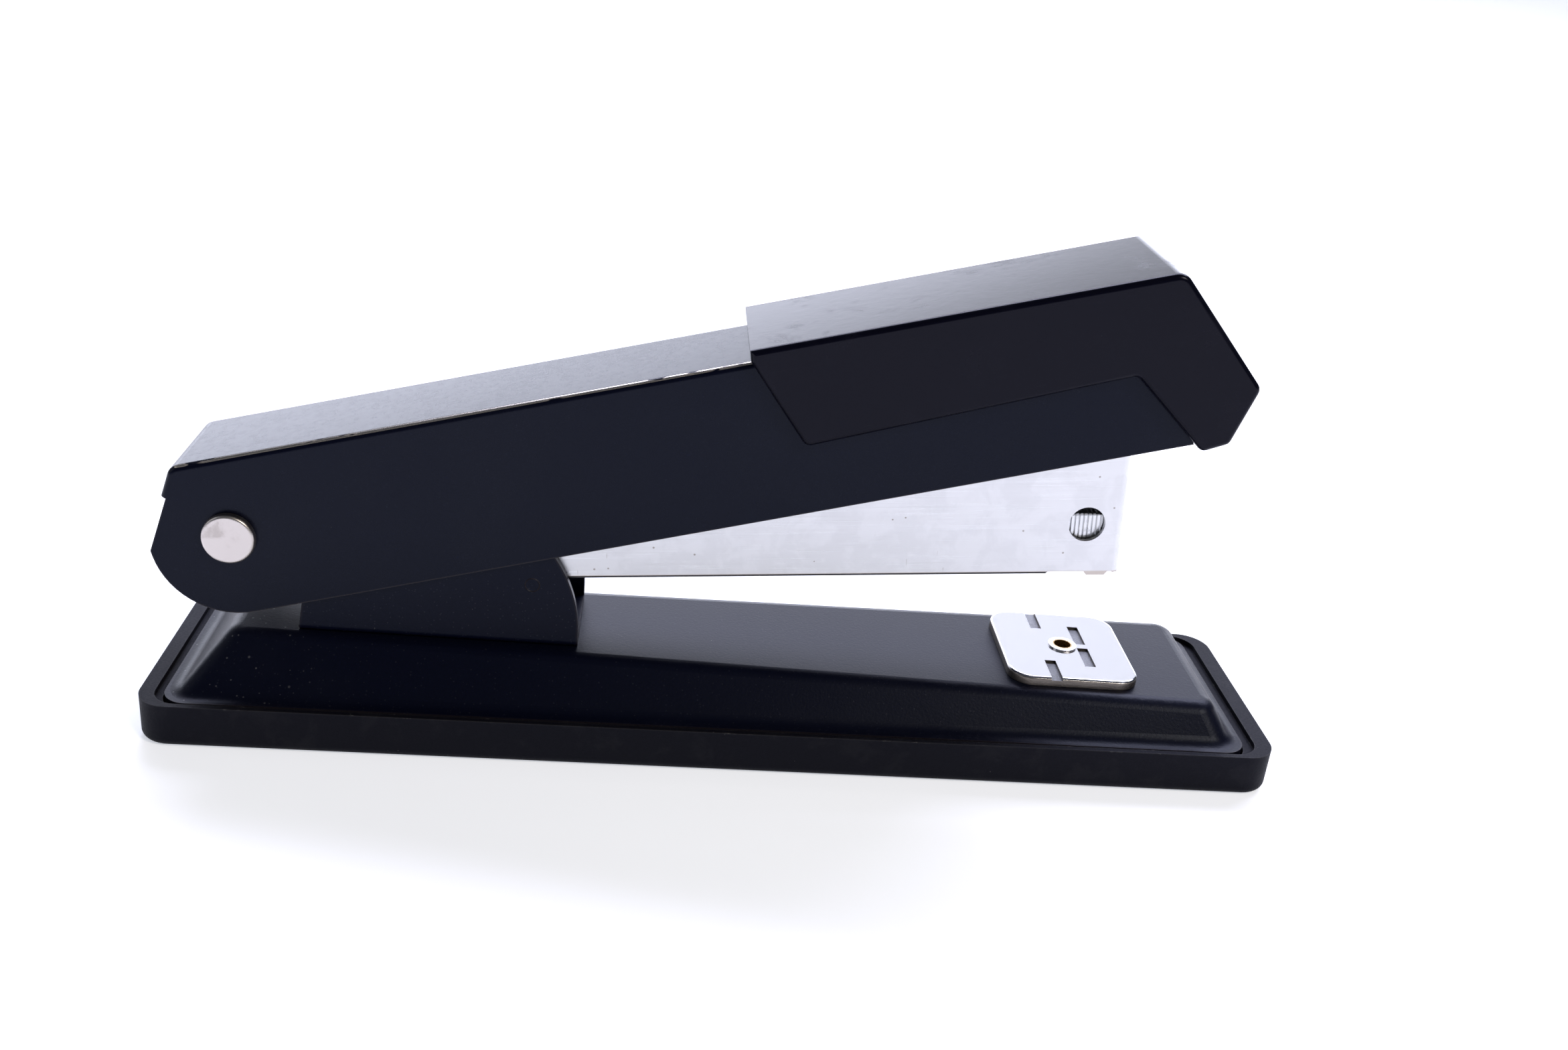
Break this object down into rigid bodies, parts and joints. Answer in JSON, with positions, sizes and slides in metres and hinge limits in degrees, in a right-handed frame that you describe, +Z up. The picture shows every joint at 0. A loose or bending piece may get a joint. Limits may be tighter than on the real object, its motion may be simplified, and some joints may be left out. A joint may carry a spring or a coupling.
{
  "type": "desk stapler",
  "caption": "Full-strip desk stapler: soft pad, pressed steel base, hinged staple magazine, sprung steel handle with a plastic front cap and a turning anvil.",
  "frame": {"origin": "centre of the pad's underside, on the surface that the stapler stands on", "axes": "+Z up, +X along the stapler towards the end where the staple comes out, +Y across it"},
  "size_m": [0.184, 0.0428, 0.0846],
  "materials": {
    "pad_rubber": "matte",
    "base_enamel": "satin",
    "handle_enamel": "satin",
    "cap_plastic": "semi-gloss",
    "magazine_nickel": "bright nickel plate",
    "pin_nickel": "satin nickel plate",
    "anvil_chrome": "polished",
    "eyelet_brass": "nickel-plated brass, worn",
    "rail_black": "semi-gloss",
    "staple_zinc": "galvanised wire",
    "spring_steel": "oiled",
    "plain_steel": "zinc plated"
  },
  "bodies": {
    "base": {"base_pad": "pad_rubber", "base_plate": "base_enamel", "pivot_bracket": "base_enamel", "bracket_rivets": "plain_steel", "pivot_pin": "pin_nickel", "lift_spring": "spring_steel", "anvil_spring": "spring_steel"},
    "anvil_stem": {"anvil_button": "plain_steel"},
    "anvil": {"anvil_plate": "anvil_chrome", "anvil_eyelet": "eyelet_brass"},
    "magazine": {"magazine_channel": "magazine_nickel", "staple_core": "plain_steel", "lower_rail": "rail_black", "rail_rivets": "plain_steel", "end_plate": "plain_steel", "spring_rod": "plain_steel", "staple_strip": "staple_zinc", "handle_spring": "spring_steel"},
    "pusher_group": {"pusher": "plain_steel", "pusher_spring": "spring_steel"},
    "handle": {"handle_shell": "handle_enamel", "handle_cap": "cap_plastic", "cap_screws": "plain_steel", "driver_blade": "spring_steel", "blade_holder": "plain_steel", "holder_rivets": "plain_steel", "blade_rivets": "plain_steel"}
  },
  "joints": [
    {"name": "magazine_pivot", "type": "hinge", "parent": "base", "child": "magazine", "pos_m": [-0.0785, 0, 0.0318], "axis": [0, -1, 0], "range_deg": [-7.05, 95], "stiffness_Nm_per_rad": 1.2, "springref_deg": 6.7, "deforming": ["lift_spring"]},
    {"name": "handle_pivot", "type": "hinge", "parent": "magazine", "child": "handle", "pos_m": [-0.0785, 0, 0.0318], "axis": [0, -1, 0], "range_deg": [-7.1, 65], "stiffness_Nm_per_rad": 0.8, "springref_deg": 4.87, "deforming": ["handle_spring"]},
    {"name": "pusher_slide", "type": "slide", "parent": "magazine", "child": "pusher_group", "axis": [0.9973, 0, 0.0732], "range_m": [-0.033, 0], "stiffness_N_per_m": 60, "springref_m": 0.03, "deforming": ["pusher_spring"]},
    {"name": "anvil_lift", "type": "slide", "parent": "base", "child": "anvil_stem", "axis": [0.0133, 0, 0.9999], "range_m": [0, 0.002], "stiffness_N_per_m": 600, "springref_m": -0.002, "deforming": ["anvil_spring"]},
    {"name": "anvil_turn", "type": "hinge", "parent": "anvil_stem", "child": "anvil", "pos_m": [0.0587, 0, 0.0135], "axis": [0.0133, 0, 0.9999], "range_deg": [0, 180]}
  ]
}
